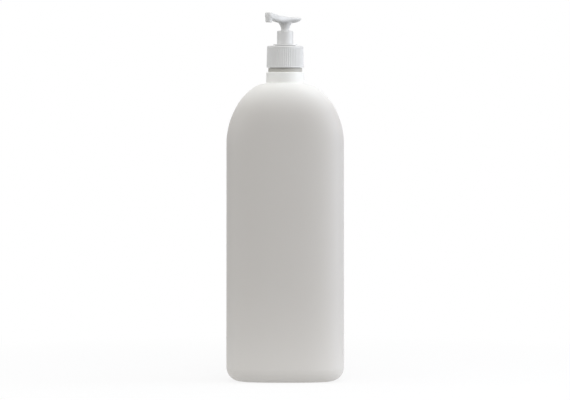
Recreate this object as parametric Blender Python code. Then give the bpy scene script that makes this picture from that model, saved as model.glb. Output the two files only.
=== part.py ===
# A one litre oval plastic bottle with a lotion pump screwed onto its neck.
#
# Units are metres and +Z is up. The origin is the centre of the bottle's base.
# The wide front of the bottle faces -Y. The pump stands on the bottle's axis, at rest
# with its head up, and its spout points to the front left.

import math

import bmesh
import bpy
from mathutils import Vector

# Bottle, outside sizes
BODY_WIDTH = 0.0984
BODY_DEPTH = 0.0580
BODY_SQUARENESS = 2.6
SIDE_DRAFT = 0.0005
BOTTLE_WALL = 0.0009
HEEL_RADIUS = 0.0120
STAND_RING_WIDTH = 0.0040
PUSH_UP = 0.0035
SHOULDER_TOP = 0.2485
SIDE_SHOULDER_HEIGHT = 0.0490
FRONT_SHOULDER_HEIGHT = 0.0350
SIDE_SHOULDER_RISE = 1.85
SIDE_SHOULDER_RUN = 1.68

# Neck with its screw finish
NECK_STAND_RADIUS = 0.0158
NECK_STAND_HEIGHT = 0.0095
NECK_STAND_FILLET = 0.0015
NECK_STAND_EDGE = 0.0006
BEAD_RADIUS = 0.0141
NECK_RADIUS = 0.0127
NECK_HEIGHT = 0.0175
THREAD_HEIGHT = 0.0010
THREAD_BASE_WIDTH = 0.0024
THREAD_CREST_WIDTH = 0.0010
THREAD_PITCH = 0.00423
THREAD_TURNS = 1.5
THREAD_START = 0.0052

# Clearance that touching pieces keep
SEAT_GAP = 0.0003

# Closure
CLOSURE_RADIUS = 0.0155
CLOSURE_DRAFT = 0.0004
CLOSURE_PLATE = 0.0015
CLOSURE_OVERHANG = 0.0137
CLOSURE_THREAD_ROOM = 0.0002
CLOSURE_EDGE = 0.0012
CLOSURE_HEM = 0.0009
RIB_COUNT = 60
RIB_DEPTH = 0.00035

# Gasket
GASKET_THICKNESS = 0.0010
GASKET_RADIUS = 0.0133
GASKET_BORE = 0.0103

# Pump housing
HOUSING_FLANGE_RADIUS = 0.0129
HOUSING_FLANGE = 0.0011
HOUSING_WALL = 0.0012
CHAMBER_RADIUS = 0.0066
CHAMBER_LENGTH = 0.0357
CHAMBER_FLOOR = 0.0010
INLET_CAGE_RADIUS = 0.0024
INLET_CAGE_HEIGHT = 0.0055
INLET_LIP_RADIUS = 0.0017
INLET_LIP = 0.0008
INLET_HOLE_RADIUS = 0.0013
INLET_HOLE_LENGTH = 0.0015
SOCKET_LENGTH = 0.0095
SOCKET_WALL = 0.0011
INLET_BALL_RADIUS = 0.0020

# Dip tube
DIP_TUBE_RADIUS = 0.0030
DIP_TUBE_WALL = 0.0009
DIP_TUBE_FLOOR_GAP = 0.0030

# Chaplet, the collar that closes the housing and guides the head
CHAPLET_FLANGE_RADIUS = 0.0100
CHAPLET_FLANGE = 0.0010
CHAPLET_WALL = 0.0013
CHAPLET_FLOOR = 0.0012
CHAPLET_LENGTH = 0.0193

# Stem, piston and piston seat
STEM_RADIUS = 0.0035
STEM_BORE = 0.0020
STEM_SHOULDER_RADIUS = 0.0048
STEM_SHOULDER = 0.0012
STEM_ABOVE_FLOOR = 0.0275
PISTON_HEIGHT = 0.0076
PISTON_WAIST = 0.0005
PISTON_LIP_HEIGHT = 0.0014
SEAT_DISC_RADIUS = 0.0056
SEAT_DISC = 0.0020
SEAT_SHANK_HEIGHT = 0.0045
SEAT_SHANK_WALL = 0.0007
OUTLET_HOLE_RADIUS = 0.0011
OUTLET_SEAT_DEPTH = 0.0075
OUTLET_BALL_RADIUS = 0.0016

# Spring
SPRING_WIRE_RADIUS = 0.0005
SPRING_RADIUS = 0.0049
SPRING_ACTIVE_TURNS = 5
SPRING_CLOSED_TURNS = 1
SPRING_CLOSED_PITCH = 0.00112

# Pump head
STROKE = 0.0140
HEAD_TURN = math.radians(240.0)
SKIRT_RADIUS = 0.0068
SKIRT_WALL = 0.0011
SKIRT_ENGAGEMENT = 0.0033
SKIRT_SHOWN = 0.0112
SKIRT_EDGE = 0.0009
WAIST_RADIUS = 0.0034
HUB_HEIGHT = 0.0080
HUB_FLARE = 0.0040
SOCKET_DEPTH_IN_HEAD = 0.0085
HEAD_PRESS_ROOM = 0.0008
PAD_LIFT = 0.0026
PAD_HEIGHT = 0.0054
PAD_BACK = 0.0165
PAD_HALF_WIDTH = 0.0103
PAD_EDGE_DROP = 0.0012
PAD_REAR_RISE = 0.0008
PAD_REAR_DROOP = 0.0014
SPOUT_REACH = 0.0300
SPOUT_HALF_WIDTH = 0.0034
SPOUT_TAPER_LENGTH = 0.0125
SPOUT_RISE = 0.0046
SPOUT_THICKNESS = 0.0058
NOZZLE_DROP = 0.0028
NOZZLE_RADIUS = 0.0028
NOZZLE_WALL = 0.0015
NOZZLE_SETBACK = 0.0002
HEAD_SQUARENESS = 3.0
HULL_ROUNDNESS = 1.9
HULL_WIDEST_SHARE = 0.68
DUCT_RADIUS = 0.0015
DUCT_ROOF = 0.0017

# Facets around
BOTTLE_SIDES = 56
THREAD_STEPS_PER_TURN = 28
TURNED_SIDES = 40
SMALL_SIDES = 28
HEAD_SIDES = 24

# Heights worked out from the sizes above
NECK_STAND_TOP = SHOULDER_TOP + NECK_STAND_HEIGHT
RIM = NECK_STAND_TOP + NECK_HEIGHT
GASKET_LOW = RIM + SEAT_GAP
FLANGE_LOW = GASKET_LOW + GASKET_THICKNESS + SEAT_GAP
FLANGE_TOP = FLANGE_LOW + HOUSING_FLANGE
PLATE_LOW = FLANGE_TOP + SEAT_GAP
CLOSURE_TOP = PLATE_LOW + CLOSURE_PLATE
CLOSURE_LOW = RIM - CLOSURE_OVERHANG
BEAD_TOP = CLOSURE_LOW - SEAT_GAP
COLLAR_LOW = CLOSURE_TOP + SEAT_GAP
COLLAR_TOP = COLLAR_LOW + CHAPLET_FLANGE
CHAPLET_LOW = COLLAR_TOP - CHAPLET_LENGTH
CHAPLET_FLOOR_TOP = CHAPLET_LOW + CHAPLET_FLOOR
CHAMBER_TOP = CHAPLET_LOW - SEAT_GAP
CHAMBER_LOW = CHAMBER_TOP - CHAMBER_LENGTH
CAGE_TOP = CHAMBER_LOW - INLET_LIP
CAGE_LOW = CAGE_TOP - INLET_CAGE_HEIGHT
INLET_CONE_LOW = CAGE_LOW - (INLET_CAGE_RADIUS - INLET_HOLE_RADIUS)
SOCKET_TOP = INLET_CONE_LOW - INLET_HOLE_LENGTH
SOCKET_LOW = SOCKET_TOP - SOCKET_LENGTH
STEM_SHOULDER_TOP = CHAPLET_LOW - SEAT_GAP
STEM_SHOULDER_LOW = STEM_SHOULDER_TOP - STEM_SHOULDER
STEM_TOP = CHAPLET_FLOOR_TOP + STEM_ABOVE_FLOOR
PISTON_TOP = STEM_SHOULDER_LOW - SEAT_GAP
PISTON_LOW = PISTON_TOP - PISTON_HEIGHT
STEM_LOW = PISTON_LOW
SEAT_TOP = PISTON_LOW - SEAT_GAP
SEAT_LOW = SEAT_TOP - SEAT_DISC
SKIRT_LOW = COLLAR_TOP - SKIRT_ENGAGEMENT
PAD_LOW = COLLAR_TOP + STROKE + HEAD_PRESS_ROOM + PAD_LIFT
HEAD_TOP = PAD_LOW + PAD_HEIGHT
HEAD_SOCKET_TOP = STEM_TOP + SEAT_GAP
SKIRT_TOP = COLLAR_TOP + SKIRT_SHOWN
DUCT_HEIGHT = HEAD_TOP - DUCT_ROOF - DUCT_RADIUS

# Radii worked out from the sizes above
CHAPLET_BORE = SKIRT_RADIUS + SEAT_GAP
CHAPLET_RADIUS = CHAPLET_BORE + CHAPLET_WALL
COLLAR_HOLE = CHAPLET_RADIUS + SEAT_GAP
STEM_CLEAR = STEM_RADIUS + SEAT_GAP
CLOSURE_BORE = NECK_RADIUS + THREAD_HEIGHT + CLOSURE_THREAD_ROOM
SOCKET_BORE = DIP_TUBE_RADIUS + SEAT_GAP


def clear_scene():
    for old in list(bpy.data.objects):
        bpy.data.objects.remove(old)


def plastic(name, colour, roughness, metallic=0.0):
    material = bpy.data.materials.new(name)
    material.use_nodes = True
    shader = material.node_tree.nodes["Principled BSDF"]
    shader.inputs["Base Color"].default_value = (*colour, 1.0)
    shader.inputs["Roughness"].default_value = roughness
    shader.inputs["Metallic"].default_value = metallic
    return material


def place(name, data, material=None, parent=None, location=(0.0, 0.0, 0.0)):
    """A new object in the scene, at a location in its parent's frame."""
    made = bpy.data.objects.new(name, data)
    if material:
        data.materials.append(material)
    made.parent = parent
    made.location = location
    bpy.context.collection.objects.link(made)
    return made


def finish_mesh(name, bm, sharp_degrees=35.0):
    """Closes a bmesh into a smooth shaded mesh whose faces point outwards."""
    bmesh.ops.remove_doubles(bm, verts=bm.verts, dist=1e-7)
    bmesh.ops.recalc_face_normals(bm, faces=bm.faces)
    mesh = bpy.data.meshes.new(name)
    bm.to_mesh(mesh)
    bm.free()
    mesh.shade_smooth()
    mesh.set_sharp_from_angle(angle=math.radians(sharp_degrees))
    return mesh


def skin_rings(bm, rings, join_last=False):
    """Four-sided faces from each ring of vertices to the next."""
    pairs = list(zip(rings, rings[1:]))
    if join_last:
        pairs.append((rings[-1], rings[0]))
    for low, high in pairs:
        for here in range(len(low)):
            after = (here + 1) % len(low)
            bm.faces.new((low[here], low[after], high[after], high[here]))


def turned_mesh(name, outline, sides):
    """A solid turned about Z from an outline of (radius, height) points.

    An outline that starts and ends on the axis is left open there; any other is a loop.
    """
    bm = bmesh.new()
    corners = [bm.verts.new((radius, 0.0, height)) for radius, height in outline]
    edges = [bm.edges.new(pair) for pair in zip(corners, corners[1:])]
    on_axis = outline[0][0] == 0.0 and outline[-1][0] == 0.0
    if not on_axis:
        edges.append(bm.edges.new((corners[-1], corners[0])))
    bmesh.ops.spin(
        bm,
        geom=corners + edges,
        axis=(0.0, 0.0, 1.0),
        cent=(0.0, 0.0, 0.0),
        angle=math.tau,
        steps=sides,
        use_merge=True,
    )
    return finish_mesh(name, bm)


def lofted_mesh(name, rings):
    """A solid skinned over closed rings of points, with a flat face on each end."""
    bm = bmesh.new()
    made = [[bm.verts.new(point) for point in ring] for ring in rings]
    skin_rings(bm, made)
    bm.faces.new(made[0])
    bm.faces.new(made[-1])
    return finish_mesh(name, bm)


def helper(name, mesh, parent=None, location=(0.0, 0.0, 0.0)):
    """A shape that only cuts or joins another one, left out of the model itself."""
    made = place(name, mesh, parent=parent, location=location)
    made.hide_render = True
    made.display_type = "WIRE"
    return made


def combine(target, tool, operation):
    """Cuts the tool from the target, or joins it to the target."""
    modifier = target.modifiers.new(tool.name, "BOOLEAN")
    modifier.object = tool
    modifier.operation = operation
    modifier.solver = "EXACT"


def oval_ring(half_width, half_depth, squareness, height):
    """A super-ellipse: |x / half width|^n + |y / half depth|^n = 1, with n the squareness."""
    points = []
    for side in range(BOTTLE_SIDES):
        angle = math.tau * side / BOTTLE_SIDES
        across = math.copysign(abs(math.cos(angle)) ** (2.0 / squareness), math.cos(angle))
        along = math.copysign(abs(math.sin(angle)) ** (2.0 / squareness), math.sin(angle))
        points.append(Vector((half_width * across, half_depth * along, height)))
    return points


def bottle_rings():
    """The bottle's outside, ring by ring, from the middle of the base up to the rim."""
    half_width = BODY_WIDTH / 2
    half_depth = BODY_DEPTH / 2
    rings = []

    # The base is pushed up inside a flat ring that the bottle stands on.
    inset = HEEL_RADIUS + STAND_RING_WIDTH
    for share in (0.3, 0.6, 0.85, 1.0):
        height = PUSH_UP * (1.0 - share**4)
        width = (half_width - inset) * share
        depth = (half_depth - inset) * share
        rings.append(oval_ring(width, depth, BODY_SQUARENESS, height))

    # The heel is a quarter circle from the standing ring to the side wall.
    for step in range(7):
        angle = math.radians(15.0 * step)
        inset = HEEL_RADIUS * (1.0 - math.sin(angle))
        height = HEEL_RADIUS * (1.0 - math.cos(angle))
        rings.append(oval_ring(half_width - inset, half_depth - inset, BODY_SQUARENESS, height))

    # The side wall draws in a little up to the shoulder, which then closes to the neck.
    top_width = half_width - SIDE_DRAFT
    top_depth = half_depth - SIDE_DRAFT
    neck = NECK_STAND_RADIUS + NECK_STAND_FILLET
    side_start = SHOULDER_TOP - SIDE_SHOULDER_HEIGHT
    front_start = SHOULDER_TOP - FRONT_SHOULDER_HEIGHT
    shoulder_steps = 11
    for step in range(shoulder_steps + 1):
        angle = math.radians(90.0 * step / shoulder_steps)
        climb = math.sin(angle) ** (2.0 / SIDE_SHOULDER_RISE)
        spread = max(math.cos(angle), 0.0) ** (2.0 / SIDE_SHOULDER_RUN)
        height = side_start + SIDE_SHOULDER_HEIGHT * climb
        width = neck + (top_width - neck) * spread
        front = max(0.0, (height - front_start) / FRONT_SHOULDER_HEIGHT)
        depth = neck + (top_depth - neck) * math.sqrt(max(0.0, 1.0 - front**2))
        squareness = 2.0 + (BODY_SQUARENESS - 2.0) * math.sqrt(spread)
        rings.append(oval_ring(width, depth, squareness, height))

    # A concave fillet leads into the round neck stand.
    for step in range(1, 4):
        angle = math.radians(30.0 * step)
        radius = neck - NECK_STAND_FILLET * math.sin(angle)
        height = SHOULDER_TOP + NECK_STAND_FILLET * (1.0 - math.cos(angle))
        rings.append(oval_ring(radius, radius, 2.0, height))

    # The stand, the bead that fills the step under the closure, and the threaded neck.
    edge = NECK_STAND_EDGE
    for radius, height in (
        (NECK_STAND_RADIUS, NECK_STAND_TOP - edge),
        (NECK_STAND_RADIUS - edge, NECK_STAND_TOP),
        (BEAD_RADIUS, NECK_STAND_TOP),
        (BEAD_RADIUS, BEAD_TOP - edge / 2),
        (BEAD_RADIUS - edge / 2, BEAD_TOP),
        (NECK_RADIUS, BEAD_TOP + edge),
        (NECK_RADIUS, RIM),
    ):
        rings.append(oval_ring(radius, radius, 2.0, height))
    return rings


def neck_thread_mesh():
    """A right-hand ridge around the neck, thinning out to nothing at both ends."""
    root = NECK_RADIUS - BOTTLE_WALL / 2
    steps = round(THREAD_TURNS * THREAD_STEPS_PER_TURN)
    rings = []
    for step in range(steps + 1):
        share = step / steps
        angle = math.tau * THREAD_TURNS * share
        middle = NECK_STAND_TOP + THREAD_START + THREAD_PITCH * THREAD_TURNS * share
        swell = min(1.0, 12.0 * share + 0.3, 12.0 * (1.0 - share) + 0.3)
        crest = NECK_RADIUS + THREAD_HEIGHT * swell
        ring = []
        for radius, offset in (
            (root, -THREAD_BASE_WIDTH / 2),
            (crest, -THREAD_CREST_WIDTH / 2),
            (crest, THREAD_CREST_WIDTH / 2),
            (root, THREAD_BASE_WIDTH / 2),
        ):
            x = radius * math.cos(angle)
            y = radius * math.sin(angle)
            ring.append((x, y, middle + offset * min(1.0, swell + 0.2)))
        rings.append(ring)
    return lofted_mesh("neck_thread_form", rings)


def make_bottle(material):
    """The blown bottle: one skin, thickened inwards, with the thread raised on its neck."""
    bm = bmesh.new()
    rings = [[bm.verts.new(point) for point in ring] for ring in bottle_rings()]
    skin_rings(bm, rings)
    middle = bm.verts.new((0.0, 0.0, PUSH_UP))
    first = rings[0]
    for here in range(BOTTLE_SIDES):
        bm.faces.new((middle, first[(here + 1) % BOTTLE_SIDES], first[here]))
    for face in bm.faces:
        face.smooth = True
    mesh = bpy.data.meshes.new("bottle")
    bm.to_mesh(mesh)
    bm.free()
    mesh.set_sharp_from_angle(angle=math.radians(40.0))

    bottle = place("bottle", mesh, material)
    wall = bottle.modifiers.new("wall", "SOLIDIFY")
    wall.thickness = BOTTLE_WALL
    wall.offset = -1.0
    wall.use_even_offset = True
    combine(bottle, helper("neck_thread_form", neck_thread_mesh()), "UNION")
    return bottle


def make_closure(material, parent):
    """The screw closure: a ribbed skirt under a flat plate with a hole for the pump."""
    top_radius = CLOSURE_RADIUS - CLOSURE_DRAFT
    edge = CLOSURE_EDGE
    outline = [
        (COLLAR_HOLE, CLOSURE_TOP, 0.0),
        (top_radius - edge, CLOSURE_TOP, 0.0),
        (top_radius - edge * 0.3, CLOSURE_TOP - edge * 0.3, 0.0),
        (top_radius, CLOSURE_TOP - edge, 0.0),
        (top_radius, CLOSURE_TOP - edge - RIB_DEPTH, RIB_DEPTH),
        (CLOSURE_RADIUS, CLOSURE_LOW + CLOSURE_HEM + RIB_DEPTH, RIB_DEPTH),
        (CLOSURE_RADIUS, CLOSURE_LOW + CLOSURE_HEM, 0.0),
        (CLOSURE_RADIUS, CLOSURE_LOW, 0.0),
        (CLOSURE_BORE, CLOSURE_LOW, 0.0),
        (CLOSURE_BORE, PLATE_LOW, 0.0),
        (COLLAR_HOLE, PLATE_LOW, 0.0),
    ]
    bm = bmesh.new()
    rings = []
    sides = 2 * RIB_COUNT
    for radius, height, groove in outline:
        ring = []
        for side in range(sides):
            angle = math.tau * side / sides
            reach = radius - groove * (side % 2)
            x = reach * math.cos(angle)
            y = reach * math.sin(angle)
            ring.append(bm.verts.new((x, y, height)))
        rings.append(ring)
    skin_rings(bm, rings, join_last=True)
    return place("closure", finish_mesh("closure", bm), material, parent)


def make_gasket(material, parent):
    top = GASKET_LOW + GASKET_THICKNESS
    outline = [
        (GASKET_BORE, GASKET_LOW),
        (GASKET_RADIUS, GASKET_LOW),
        (GASKET_RADIUS, top),
        (GASKET_BORE, top),
    ]
    return place("gasket", turned_mesh("gasket", outline, TURNED_SIDES), material, parent)


def make_housing(material, parent):
    """The pump's cylinder: flange, wide sleeve, piston chamber, ball cage, tube socket."""
    sleeve_radius = COLLAR_HOLE + HOUSING_WALL
    chamber_outside = CHAMBER_RADIUS + HOUSING_WALL
    socket_outside = SOCKET_BORE + SOCKET_WALL
    outline = [
        (HOUSING_FLANGE_RADIUS, FLANGE_LOW),
        (HOUSING_FLANGE_RADIUS, FLANGE_TOP),
        (COLLAR_HOLE, FLANGE_TOP),
        (COLLAR_HOLE, CHAMBER_TOP),
        (CHAMBER_RADIUS, CHAMBER_TOP),
        (CHAMBER_RADIUS, CHAMBER_LOW),
        (INLET_LIP_RADIUS, CHAMBER_LOW),
        (INLET_LIP_RADIUS, CAGE_TOP),
        (INLET_CAGE_RADIUS, CAGE_TOP),
        (INLET_CAGE_RADIUS, CAGE_LOW),
        (INLET_HOLE_RADIUS, INLET_CONE_LOW),
        (INLET_HOLE_RADIUS, SOCKET_TOP),
        (SOCKET_BORE, SOCKET_TOP),
        (SOCKET_BORE, SOCKET_LOW),
        (socket_outside, SOCKET_LOW),
        (socket_outside, CAGE_TOP - CHAMBER_FLOOR),
        (chamber_outside, CHAMBER_LOW - CHAMBER_FLOOR + HOUSING_WALL),
        (chamber_outside, CHAMBER_TOP - HOUSING_WALL),
        (sleeve_radius, CHAMBER_TOP),
        (sleeve_radius, FLANGE_LOW),
    ]
    return place("housing", turned_mesh("housing", outline, TURNED_SIDES), material, parent)


def make_chaplet(material, parent):
    """The collar snapped into the housing: a low ring on the closure over a guide sleeve."""
    edge = CHAPLET_FLANGE * 0.4
    outline = [
        (CHAPLET_BORE, COLLAR_TOP),
        (CHAPLET_BORE, CHAPLET_FLOOR_TOP),
        (STEM_CLEAR, CHAPLET_FLOOR_TOP),
        (STEM_CLEAR, CHAPLET_LOW),
        (CHAPLET_RADIUS, CHAPLET_LOW),
        (CHAPLET_RADIUS, COLLAR_LOW),
        (CHAPLET_FLANGE_RADIUS, COLLAR_LOW),
        (CHAPLET_FLANGE_RADIUS, COLLAR_TOP - edge),
        (CHAPLET_FLANGE_RADIUS - edge, COLLAR_TOP),
    ]
    return place("chaplet", turned_mesh("chaplet", outline, TURNED_SIDES), material, parent)


def make_dip_tube(material, parent):
    """A straight tube from the housing's socket down to just above the pushed-up base."""
    bore = DIP_TUBE_RADIUS - DIP_TUBE_WALL
    low = PUSH_UP + BOTTLE_WALL + DIP_TUBE_FLOOR_GAP
    top = SOCKET_TOP - SEAT_GAP
    outline = [(bore, low), (DIP_TUBE_RADIUS, low), (DIP_TUBE_RADIUS, top), (bore, top)]
    return place("dip_tube", turned_mesh("dip_tube", outline, SMALL_SIDES), material, parent)


def make_spring(material, parent):
    """A compression spring between the chamber's floor and the piston seat."""
    low = CHAMBER_LOW + SEAT_GAP + SPRING_WIRE_RADIUS
    high = SEAT_LOW - SEAT_GAP - SPRING_WIRE_RADIUS
    closed = SPRING_CLOSED_TURNS * SPRING_CLOSED_PITCH
    open_pitch = (high - low - 2.0 * closed) / SPRING_ACTIVE_TURNS
    turns = SPRING_ACTIVE_TURNS + 2 * SPRING_CLOSED_TURNS
    steps_per_turn = 14
    points = []
    for step in range(turns * steps_per_turn + 1):
        turn = step / steps_per_turn
        from_low = min(turn, SPRING_CLOSED_TURNS) * SPRING_CLOSED_PITCH
        active = min(max(turn - SPRING_CLOSED_TURNS, 0.0), SPRING_ACTIVE_TURNS) * open_pitch
        last = max(turn - SPRING_CLOSED_TURNS - SPRING_ACTIVE_TURNS, 0.0) * SPRING_CLOSED_PITCH
        angle = math.tau * turn
        x = SPRING_RADIUS * math.cos(angle)
        y = SPRING_RADIUS * math.sin(angle)
        points.append((x, y, low + from_low + active + last, 1.0))

    curve = bpy.data.curves.new("spring", "CURVE")
    curve.dimensions = "3D"
    curve.bevel_depth = SPRING_WIRE_RADIUS
    curve.bevel_resolution = 1
    curve.use_fill_caps = True
    spline = curve.splines.new("POLY")
    spline.points.add(len(points) - 1)
    for point, place_of_point in zip(spline.points, points):
        point.co = place_of_point
    spline.use_smooth = True
    return place("spring", curve, material, parent)


def ball_height(ball_radius, hole_radius, cone_low):
    """Height of a ball's centre where it rests, one gap off, in a 45 degree cone."""
    return cone_low - hole_radius + (ball_radius + SEAT_GAP) * math.sqrt(2.0)


def make_ball(name, radius, height, material, parent):
    bm = bmesh.new()
    bmesh.ops.create_icosphere(bm, subdivisions=3, radius=radius)
    return place(name, finish_mesh(name, bm, 180.0), material, parent, (0.0, 0.0, height))


def make_piston(material, parent):
    """A sleeve on the stem with a wiping lip at each end."""
    lip = CHAMBER_RADIUS - SEAT_GAP
    waist = lip - PISTON_WAIST
    outline = [
        (STEM_CLEAR, PISTON_LOW),
        (lip, PISTON_LOW),
        (lip, PISTON_LOW + PISTON_LIP_HEIGHT),
        (waist, PISTON_LOW + PISTON_LIP_HEIGHT + PISTON_WAIST),
        (waist, PISTON_TOP - PISTON_LIP_HEIGHT - PISTON_WAIST),
        (lip, PISTON_TOP - PISTON_LIP_HEIGHT),
        (lip, PISTON_TOP),
        (STEM_CLEAR, PISTON_TOP),
    ]
    return place("piston", turned_mesh("piston", outline, TURNED_SIDES), material, parent)


def make_stem(material, parent):
    """The hollow stem: a shoulder that holds the piston, and the outlet ball's cone."""
    cone_low = STEM_TOP - OUTLET_SEAT_DEPTH
    cone_top = cone_low + STEM_BORE - OUTLET_HOLE_RADIUS
    choke_low = cone_low - OUTLET_HOLE_RADIUS
    outline = [
        (STEM_RADIUS, STEM_LOW),
        (STEM_RADIUS, STEM_SHOULDER_LOW),
        (STEM_SHOULDER_RADIUS, STEM_SHOULDER_LOW),
        (STEM_SHOULDER_RADIUS, STEM_SHOULDER_TOP),
        (STEM_RADIUS, STEM_SHOULDER_TOP),
        (STEM_RADIUS, STEM_TOP),
        (STEM_BORE, STEM_TOP),
        (STEM_BORE, cone_top),
        (OUTLET_HOLE_RADIUS, cone_low),
        (OUTLET_HOLE_RADIUS, choke_low),
        (STEM_BORE, choke_low - STEM_BORE + OUTLET_HOLE_RADIUS),
        (STEM_BORE, STEM_LOW),
    ]
    return place("stem", turned_mesh("stem", outline, SMALL_SIDES), material, parent)


def make_piston_seat(material, parent):
    """The disc under the piston, with a hollow shank that plugs into the stem."""
    shank = STEM_BORE - SEAT_GAP
    bore = shank - SEAT_SHANK_WALL
    top = SEAT_TOP + SEAT_SHANK_HEIGHT
    outline = [
        (bore, SEAT_LOW),
        (SEAT_DISC_RADIUS, SEAT_LOW),
        (SEAT_DISC_RADIUS, SEAT_TOP),
        (shank, SEAT_TOP),
        (shank, top),
        (bore, top),
    ]
    mesh = turned_mesh("piston_seat", outline, SMALL_SIDES)
    return place("piston_seat", mesh, material, parent)


def spout_heights(along):
    """Top and underside of the spout at a distance from the head's axis."""
    climb = max(0.0, along / SPOUT_REACH)
    top = HEAD_TOP + SPOUT_RISE * climb**1.3
    thin = 1.0 - math.exp(-((max(0.0, along) / SPOUT_TAPER_LENGTH) ** 2))
    return top, PAD_LOW + (top - SPOUT_THICKNESS - PAD_LOW) * thin


def head_stations():
    """(along, half width, top, underside) of the head from its back edge to the spout's tip.

    The pad's back is a half circle, and the spout's width falls off as exp(-s^2).
    """
    stations = []
    pad_middle = -(PAD_BACK - PAD_HALF_WIDTH)
    for angle_degrees in (80.0, 62.0, 45.0, 28.0, 12.0):
        angle = math.radians(angle_degrees)
        along = pad_middle - PAD_HALF_WIDTH * math.sin(angle)
        width = PAD_HALF_WIDTH * math.cos(angle)
        drop = PAD_EDGE_DROP * math.sin(angle) ** 8
        rise = PAD_REAR_RISE * math.sin(angle) ** 2
        droop = PAD_REAR_DROOP * math.sin(angle) ** 2
        stations.append((along, width, HEAD_TOP + rise - drop, PAD_LOW - droop))

    tip_length = SPOUT_HALF_WIDTH
    spout_steps = 12
    for step in range(spout_steps + 1):
        share = step / spout_steps
        along = pad_middle + (SPOUT_REACH - tip_length - pad_middle) * share
        taper = math.exp(-(((along - pad_middle) / SPOUT_TAPER_LENGTH) ** 2))
        width = SPOUT_HALF_WIDTH + (PAD_HALF_WIDTH - SPOUT_HALF_WIDTH) * taper
        top, underside = spout_heights(along)
        stations.append((along, width, top, underside))

    # The tip is rounded in plan.
    _, width, top, underside = stations[-1]
    for angle_degrees in (25.0, 50.0, 72.0):
        angle = math.radians(angle_degrees)
        along = SPOUT_REACH - tip_length + tip_length * math.sin(angle)
        drop = PAD_EDGE_DROP * math.sin(angle) ** 4
        stations.append((along, width * math.cos(angle), top - drop, underside + drop / 2))
    return stations


def head_ring(along, half_width, top, underside):
    """A closed section of the head across its length.

    The pad is hull-shaped, widest near its top, and the spout's section is an even one.
    """
    evenness = min(1.0, max(0.0, along / (SPOUT_REACH / 2)))
    lower_roundness = HULL_ROUNDNESS + (HEAD_SQUARENESS - HULL_ROUNDNESS) * evenness
    widest_share = HULL_WIDEST_SHARE + (0.5 - HULL_WIDEST_SHARE) * evenness
    widest = underside + (top - underside) * widest_share
    ring = []
    for side in range(HEAD_SIDES):
        angle = math.tau * side / HEAD_SIDES
        upper = math.sin(angle) > 0.0
        power = 2.0 / (HEAD_SQUARENESS if upper else lower_roundness)
        across = math.copysign(abs(math.cos(angle)) ** power, math.cos(angle))
        upward = abs(math.sin(angle)) ** power
        height = widest + (top - widest) * upward if upper else widest - (widest - underside) * upward
        ring.append((along, half_width * across, height))
    return ring


def rod_mesh(name, start, end, radius, sides):
    """A round rod from one point to another."""
    run = end - start
    turn = run.to_track_quat("Z", "Y").to_matrix().to_4x4()
    turn.translation = (start + end) / 2
    bm = bmesh.new()
    bmesh.ops.create_cone(
        bm,
        cap_ends=True,
        segments=sides,
        radius1=radius,
        radius2=radius,
        depth=run.length,
        matrix=turn,
    )
    return finish_mesh(name, bm)


def head_column_mesh():
    """The head's round column: the wide skirt, the waist and the hub that flares into the pad."""
    outline = [
        (0.0, SKIRT_LOW),
        (SKIRT_RADIUS, SKIRT_LOW),
        (SKIRT_RADIUS, SKIRT_TOP - SKIRT_EDGE),
        (SKIRT_RADIUS - SKIRT_EDGE * 0.3, SKIRT_TOP - SKIRT_EDGE * 0.3),
        (SKIRT_RADIUS - SKIRT_EDGE, SKIRT_TOP),
    ]
    hub_steps = 6
    for step in range(hub_steps + 1):
        share = step / hub_steps
        radius = WAIST_RADIUS + HUB_FLARE * share**2
        outline.append((radius, SKIRT_TOP + SKIRT_EDGE / 2 + HUB_HEIGHT * share))
    outline.append((0.0, SKIRT_TOP + SKIRT_EDGE / 2 + HUB_HEIGHT))
    return turned_mesh("head_column_form", outline, TURNED_SIDES)


def head_bore_mesh():
    """The space inside the column: the skirt's bore, the stem's socket and the duct's rise."""
    socket_low = HEAD_SOCKET_TOP - SOCKET_DEPTH_IN_HEAD
    skirt_bore = SKIRT_RADIUS - SKIRT_WALL
    below = SKIRT_LOW - SKIRT_WALL
    outline = [
        (0.0, below),
        (skirt_bore, below),
        (skirt_bore, socket_low - skirt_bore + STEM_CLEAR),
        (STEM_CLEAR, socket_low),
        (STEM_CLEAR, HEAD_SOCKET_TOP),
        (DUCT_RADIUS, HEAD_SOCKET_TOP),
        (DUCT_RADIUS, DUCT_HEIGHT),
        (0.0, DUCT_HEIGHT),
    ]
    return turned_mesh("head_bore_form", outline, TURNED_SIDES)


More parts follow.
